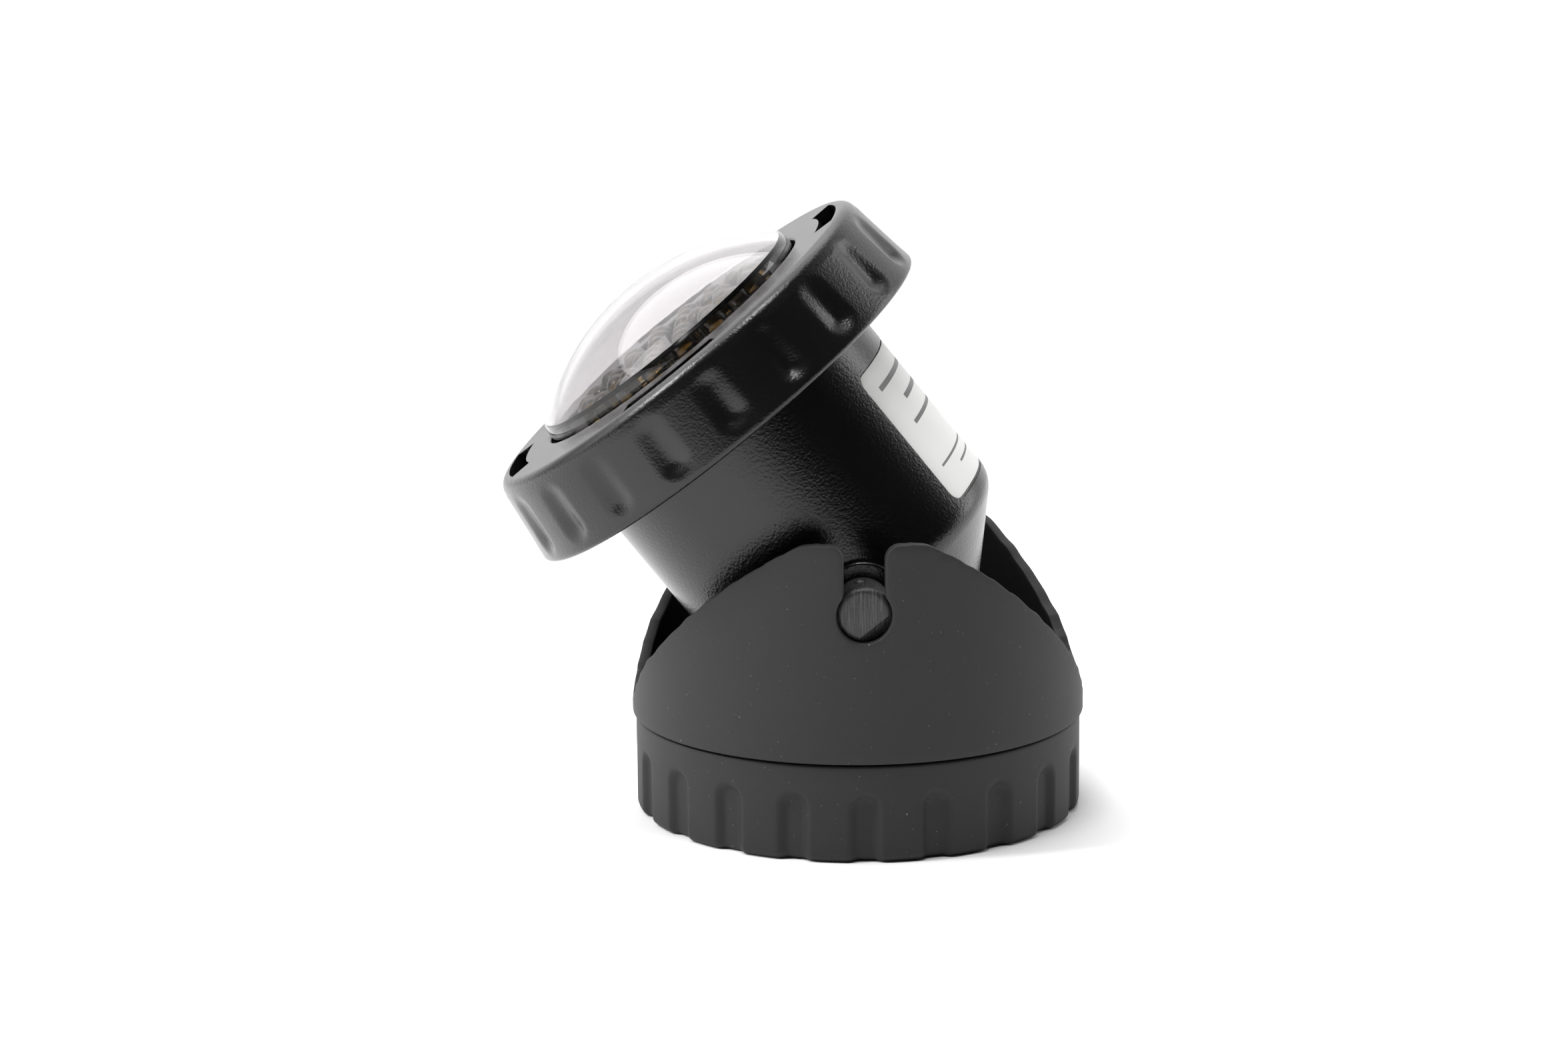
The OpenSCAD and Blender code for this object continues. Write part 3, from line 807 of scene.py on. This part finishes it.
collar_outline = ([(collar_inside, 37.0), (38.5, collar_back + 0.2), (39.0, collar_back)]
                  + rows(39.0, collar_back, collar_back_radius - collar_heel, collar_back, 3)
                  + arc(collar_back_radius - collar_heel, collar_back + collar_heel, collar_heel,
                        -90, 0, 5)
                  + rows(collar_back_radius, collar_back + collar_heel,
                         collar_front_radius + 0.15, collar_face - collar_edge, 34)
                  + arc(collar_front_radius - collar_edge, collar_face - collar_edge, collar_edge,
                        5, 90, 8)
                  + rows(collar_front_radius - collar_edge, collar_face,
                         lip_radius + 0.5, collar_face, 10)
                  + arc(lip_radius + 0.5, collar_face - 0.5, 0.5, 90, 180, 4)
                  + [(lip_radius, 50.9), (lip_radius + 0.4, 50.5), (37.7, 50.5),
                     (collar_inside, 50.1), (collar_inside, 44.0), (33.0, 43.8), (33.0, 41.8),
                     (collar_inside, 41.6), (collar_inside, 37.0)])
collar = turned("moulded_collar_ring", collar_outline, 720)
pull_in(collar, collar_scoop)
windows = []
for turn in (0, 90, 180, 270):
    window = turned("window", [(window_inner, 49), (window_outer, 49), (window_outer, 54),
                               (window_inner, 54), (window_inner, 49)],
                    40, window_sweep, turn + window_start)
    windows.append(window)
combine(collar, windows)
smooth(collar, 32)
lean(collar)
collar_plastic = grained_plastic("collar_plastic", 0.004, 0.45, 0.06, 0.20)
collar.data.materials.clear()
collar.data.materials.append(collar_plastic)
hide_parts("collar_ring")
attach(collar, "collar")


# ---- Dome lens: one clear moulding of polished plastic, a flange, a short skirt and a shallow dome.
# The collar's lip presses its flange on a rubber ring.
dome_radius = 27.3
dome_skirt = 54.7
dome_rise = 9.6
dome_wall = 1.6
lens_low = 48.4
lens_high = 50.4
lens_edge = 32.2
dome_ball = (dome_radius ** 2 + dome_rise ** 2) / (2 * dome_rise)
dome_centre = dome_skirt + dome_rise - dome_ball
dome_edge = degrees(asin((dome_skirt - dome_centre) / dome_ball))
inner_ball = dome_ball - dome_wall
inner_edge = degrees(acos((dome_radius - dome_wall) / inner_ball))
lens_outline = ([(dome_radius - dome_wall, lens_low), (32.0, lens_low), (lens_edge, 48.6),
                 (lens_edge, 50.2), (32.0, lens_high), (dome_radius + 0.3, lens_high),
                 (dome_radius, 50.7)]
                + rows(dome_radius, 50.7, dome_radius, dome_skirt - 0.4, 5)
                + arc(0, dome_centre, dome_ball, dome_edge + 0.6, 90, 44)
                + [(0, dome_centre + inner_ball)]
                + arc(0, dome_centre, inner_ball, 90, inner_edge, 44)[1:]
                + [(dome_radius - dome_wall, lens_low)])
lens = turned("clear_dome_lens", lens_outline, 192)
smooth(lens, 40)
lean(lens)
# painted shade: the clear plastic is tinted grey-pink, which darkens the view through the dome
clear, clear_place = paint("dome_lens_plastic_painted_shade", Transmission_Weight=1.0, IOR=1.49)
clear_wave = noise(clear_place, 9, 2)
clear_haze = noise(clear_place, 3, 4)
feed(clear,
     Base_Color=blend(clear_place, clear_haze, (0.76, 0.74, 0.75), (0.80, 0.78, 0.79)),
     Roughness=clear_haze * 0.05,
     Normal=bumps(clear_wave, 0.02))
lens.data.materials.clear()
lens.data.materials.append(clear)
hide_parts("dome_lens")
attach(lens, "head")


# ---- Light-emitting diodes: 36 of the clear 5 mm kind in three rings. Each is cast in clear resin
# around a frame of two legs, with a little cup that holds the yellow phosphor.
led_foot = 45.4
led_top = 54.2
led_radius = 2.5
led_rim = 2.9
led_board_top = 44.2
leg_aside = 1.27
leg_wide = 0.5


def spread(piece, name, radius, count, first):
    """copies of an upright piece on a ring about the lamp's axis, joined in one piece"""
    made = []
    for number in range(count):
        turn = radians(first + 360 / count * number)
        alone(piece)
        bpy.ops.object.duplicate()
        copy = bpy.context.active_object
        copy.rotation_euler = (0, 0, turn)
        copy.location = (radius * MM * cos(turn), radius * MM * sin(turn), 0)
        made.append(copy)
    alone(made[0])
    for copy in made:
        copy.select_set(True)
    bpy.ops.object.join()
    joined = bpy.context.active_object
    joined.name = name
    joined.data.name = name
    bpy.ops.object.transform_apply(location=True, rotation=True, scale=True)
    lean(joined)
    return joined


led_outline = ([(0, led_foot), (led_rim - 0.15, led_foot), (led_rim, led_foot + 0.15),
                (led_rim, led_foot + 0.85), (led_rim - 0.15, led_foot + 1.0),
                (led_radius, led_foot + 1.0)]
               + rows(led_radius, led_foot + 1.0, led_radius, led_top - led_radius, 3)
               + arc(0, led_top - led_radius, led_radius, 0, 90, 9) + [(0, led_foot)])
resin_bulb = turned("resin_bulb", led_outline, 32)
smooth(resin_bulb, 40)
cup_z = 50.2
led_cup = turned("led_cup", [(0, cup_z - 0.9), (0.95, cup_z - 0.7), (1.35, cup_z + 0.25),
                             (1.2, cup_z + 0.25), (0.75, cup_z - 0.3), (0, cup_z - 0.3),
                             (0, cup_z - 0.9)], 20)
for side, top in ((-1, cup_z - 0.6), (1, cup_z + 0.1)):
    bpy.ops.mesh.primitive_cube_add(size=1, location=(side * leg_aside * MM, 0,
                                                      (led_board_top + top) / 2 * MM))
    leg = bpy.context.active_object
    leg.scale = (leg_wide * MM, leg_wide * MM, (top - led_board_top) * MM)
    bpy.ops.object.transform_apply(location=True, rotation=True, scale=True)
    bpy.ops.object.mode_set(mode="EDIT")
    bpy.ops.mesh.select_all(action="SELECT")
    bpy.ops.mesh.bevel(offset=0.08 * MM, segments=1)
    bpy.ops.object.mode_set(mode="OBJECT")
    alone(led_cup)
    leg.select_set(True)
    bpy.ops.object.join()
smooth(led_cup, 30)
phosphor_dab = turned("phosphor_dab", [(0, cup_z - 0.3), (0.72, cup_z - 0.3), (0.95, cup_z + 0.05)]
                      + arc(0, cup_z - 1.0, 1.42, 48, 90, 4) + [(0, cup_z - 0.3)], 20)

# painted shade: the clear resin is tinted dark amber to stand in for the dark room and holder
resin, resin_place = paint("led_resin_painted_shade", Transmission_Weight=1.0, IOR=1.48)
resin_tone = noise(resin_place, 2, 3)
feed(resin,
     Base_Color=blend(resin_place, resin_tone, (0.28, 0.25, 0.19), (0.44, 0.40, 0.32)),
     Roughness=resin_tone * 0.04)
resin_bulb.data.materials.append(resin)

gold, gold_place = paint("led_frame_metal", Metallic=1.0)
gold_tone = noise(gold_place, 0.6, 3)
feed(gold,
     Base_Color=blend(gold_place, gold_tone, (0.62, 0.42, 0.16), (0.85, 0.70, 0.42)),
     Roughness=0.22 + gold_tone * 0.2,
     Normal=bumps(gold_tone, 0.02))
led_cup.data.materials.append(gold)

phosphor, phosphor_place = paint("led_phosphor", IOR=1.45)
phosphor_tone = noise(phosphor_place, 0.3, 3)
feed(phosphor,
     Base_Color=blend(phosphor_place, phosphor_tone, (0.80, 0.52, 0.05), (0.95, 0.72, 0.16)),
     Roughness=0.45 + phosphor_tone * 0.2,
     Normal=bumps(phosphor_tone, 0.03))
phosphor_dab.data.materials.append(phosphor)

for ring, radius, count, first in (("inner", 6.2, 6, 0), ("middle", 12.4, 12, 15),
                                   ("outer", 18.8, 18, 0)):
    bulbs = spread(resin_bulb, f"led_bulbs_{ring}", radius, count, first)
    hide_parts(f"leds_{ring}")
    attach(bulbs, "head")
    cups = spread(led_cup, f"led_frames_{ring}", radius, count, first)
    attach(cups, "head")
    dabs = spread(phosphor_dab, f"led_phosphor_{ring}", radius, count, first)
    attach(dabs, "head")
for pattern in (resin_bulb, led_cup, phosphor_dab):
    bpy.data.objects.remove(pattern)


# ---- Light engine: the green board that the diodes stand on, the black plate that holds them in line,
# and the bridge, resistors, capacitor and pins on the board's back.
board_lacquer, board_place = paint("board_lacquer", IOR=1.5)
board_weave = noise(board_place, 0.4, 3)
board_tone = noise(board_place, 8, 2)
feed(board_lacquer,
     Base_Color=blend(board_place, board_tone, (0.010, 0.085, 0.030), (0.020, 0.13, 0.05)),
     Roughness=0.25 + board_weave * 0.15,
     Normal=bumps(board_weave, 0.02))
frame["nodes"]["led_board"].data.materials.clear()
frame["nodes"]["led_board"].data.materials.append(board_lacquer)

holder_plastic = matte_plastic("led_holder_plastic", 0.006)
diode_plastic, diode_place = paint("bridge_diode_plastic", IOR=1.5)
diode_way = along_lamp(diode_place)
diode_x = diode_way.node("SeparateXYZ", {}, {0: diode_way}, 0)
diode_band = (diode_x > -10.6 * MM) * (diode_x < -9.9 * MM)
diode_wire = (diode_x > -9.35 * MM) + (diode_x < -14.65 * MM)
diode_grain = noise(diode_place, 0.3, 3)
feed(diode_plastic,
     Base_Color=blend(diode_place, diode_band + diode_wire,
                      (0.014, 0.014, 0.015), (0.55, 0.55, 0.56)),
     Roughness=0.35 + diode_grain * 0.2,
     Metallic=diode_wire,
     Normal=bumps(diode_grain, 0.02))
for node, material in (("led_holder", holder_plastic), ("bridge_diodes", diode_plastic)):
    frame["nodes"][node].data.materials.clear()
    frame["nodes"][node].data.materials.append(material)

lacquer, lacquer_place = paint("resistor_lacquer", IOR=1.5)
lacquer_way = along_lamp(lacquer_place)
lacquer_x = lacquer_way.node("SeparateXYZ", {}, {0: lacquer_way}, 0)
ring_one = (lacquer_x > 9.4 * MM) * (lacquer_x < 9.9 * MM)
ring_two = (lacquer_x > 10.5 * MM) * (lacquer_x < 11.0 * MM)
ring_three = (lacquer_x > 12.2 * MM) * (lacquer_x < 12.7 * MM)
resistor_wire = (lacquer_x > 14.3 * MM) + (lacquer_x < 7.7 * MM)
lacquer_tone = noise(lacquer_place, 0.8, 3)
lacquer_blue = blend(lacquer_place, lacquer_tone, (0.16, 0.34, 0.44), (0.22, 0.42, 0.52))
lacquer_ringed = blend(lacquer_place, ring_one + ring_two, lacquer_blue, (0.15, 0.03, 0.02))
lacquer_gilded = blend(lacquer_place, ring_three, lacquer_ringed, (0.55, 0.38, 0.12))
feed(lacquer,
     Base_Color=blend(lacquer_place, resistor_wire, lacquer_gilded, (0.6, 0.6, 0.6)),
     Roughness=0.3 + lacquer_tone * 0.15,
     Metallic=resistor_wire,
     Normal=bumps(lacquer_tone, 0.03))
frame["nodes"]["ballast_resistors"].data.materials.clear()
frame["nodes"]["ballast_resistors"].data.materials.append(lacquer)

sleeve, sleeve_place = paint("capacitor_sleeve", IOR=1.5)
sleeve_way = along_lamp(sleeve_place)
sleeve_s = sleeve_way.node("SeparateXYZ", {}, {0: sleeve_way}, 2)
sleeve_y = sleeve_way.node("SeparateXYZ", {}, {0: sleeve_way}, 1)
can_top = sleeve_s < 29.7 * MM
can_stripe = (sleeve_y > 3.6 * MM) * (1 - can_top)
sleeve_tone = noise(sleeve_place, 1.5, 3)
sleeve_body = blend(sleeve_place, can_stripe, (0.012, 0.016, 0.035), (0.45, 0.46, 0.50))
feed(sleeve,
     Base_Color=blend(sleeve_place, can_top, sleeve_body, (0.7, 0.7, 0.71)),
     Roughness=0.25 + sleeve_tone * 0.2,
     Metallic=can_top,
     Normal=bumps(sleeve_tone, 0.03))
frame["nodes"]["smoothing_capacitor"].data.materials.clear()
frame["nodes"]["smoothing_capacitor"].data.materials.append(sleeve)

tin, tin_place = paint("terminal_tin", Metallic=1.0)
tin_tone = noise(tin_place, 0.4, 3)
feed(tin,
     Base_Color=blend(tin_place, tin_tone, (0.58, 0.46, 0.22), (0.75, 0.72, 0.66)),
     Roughness=0.25 + tin_tone * 0.2,
     Normal=bumps(tin_tone, 0.02))
frame["nodes"]["terminal_pins"].data.materials.clear()
frame["nodes"]["terminal_pins"].data.materials.append(tin)


# ---- Cable inlet: a rubber bush in the housing's neck, squeezed by a six-sided nut, with black resin
# poured behind it. The lens sits on a ring of the same rubber.
rubber, rubber_place = paint("seal_rubber_skin", IOR=1.5)
rubber_bloom = noise(rubber_place, 3, 4)
rubber_grain = noise(rubber_place, 0.2, 3)
feed(rubber,
     Base_Color=blend(rubber_place, rubber_bloom, (0.012, 0.012, 0.012), (0.028, 0.028, 0.027)),
     Roughness=0.6 + rubber_bloom * 0.2,
     Normal=bumps(rubber_grain, 0.02))
for node in ("lens_gasket", "gland_bush"):
    frame["nodes"][node].data.materials.clear()
    frame["nodes"][node].data.materials.append(rubber)

poured, poured_place = paint("poured_resin", IOR=1.55)
poured_wave = noise(poured_place, 5, 3)
feed(poured,
     Base_Color=blend(poured_place, poured_wave, (0.014, 0.013, 0.012), (0.03, 0.028, 0.026)),
     Roughness=0.12 + poured_wave * 0.2,
     Normal=bumps(poured_wave, 0.3))
frame["nodes"]["cable_potting"].data.materials.clear()
frame["nodes"]["cable_potting"].data.materials.append(poured)

nut_back = -25.6
nut_front = -18.2
nut_radius = 8.6
nut_mouth = 3.4
bush_back = -24.6
bush_room = 4.62
neck_seat = -21.38
neck_room = 7.02
alone()
bpy.ops.mesh.primitive_cylinder_add(vertices=6, radius=nut_radius * MM,
                                    depth=(nut_front - nut_back) * MM,
                                    location=(0, 0, (nut_front + nut_back) / 2 * MM),
                                    rotation=(0, 0, radians(30)))
nut = bpy.context.active_object
nut.name = "moulded_gland_nut"
nut.data.name = "moulded_gland_nut"
bpy.ops.object.transform_apply(location=True, rotation=True, scale=True)
bpy.ops.object.mode_set(mode="EDIT")
bpy.ops.mesh.select_all(action="SELECT")
bpy.ops.mesh.bevel(offset=0.35 * MM, segments=3, profile=0.5)
bpy.ops.object.mode_set(mode="OBJECT")
nut_cone = turned("nut_cone", [(0, nut_back - 1), (7.2, nut_back - 0.2),
                               (nut_radius + 0.1, nut_back + 1.2),
                               (nut_radius + 0.1, nut_front + 1), (0, nut_front + 1),
                               (0, nut_back - 1)], 96)
combine(nut, [nut_cone], "INTERSECT")
nut_bore = turned("nut_bore", [(0, nut_back - 1), (3.9, nut_back - 1), (nut_mouth, nut_back + 0.4),
                               (nut_mouth, bush_back), (bush_room, bush_back),
                               (bush_room, neck_seat), (neck_room, neck_seat),
                               (neck_room, nut_front + 1), (0, nut_front + 1),
                               (0, nut_back - 1)], 96)
combine(nut, [nut_bore])
smooth(nut, 30)
lean(nut)
nut_plastic = grained_plastic("gland_nut_plastic", 0.010, 0.4, 0.04, 0.34)
nut.data.materials.clear()
nut.data.materials.append(nut_plastic)
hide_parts("gland_nut")
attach(nut, "head")
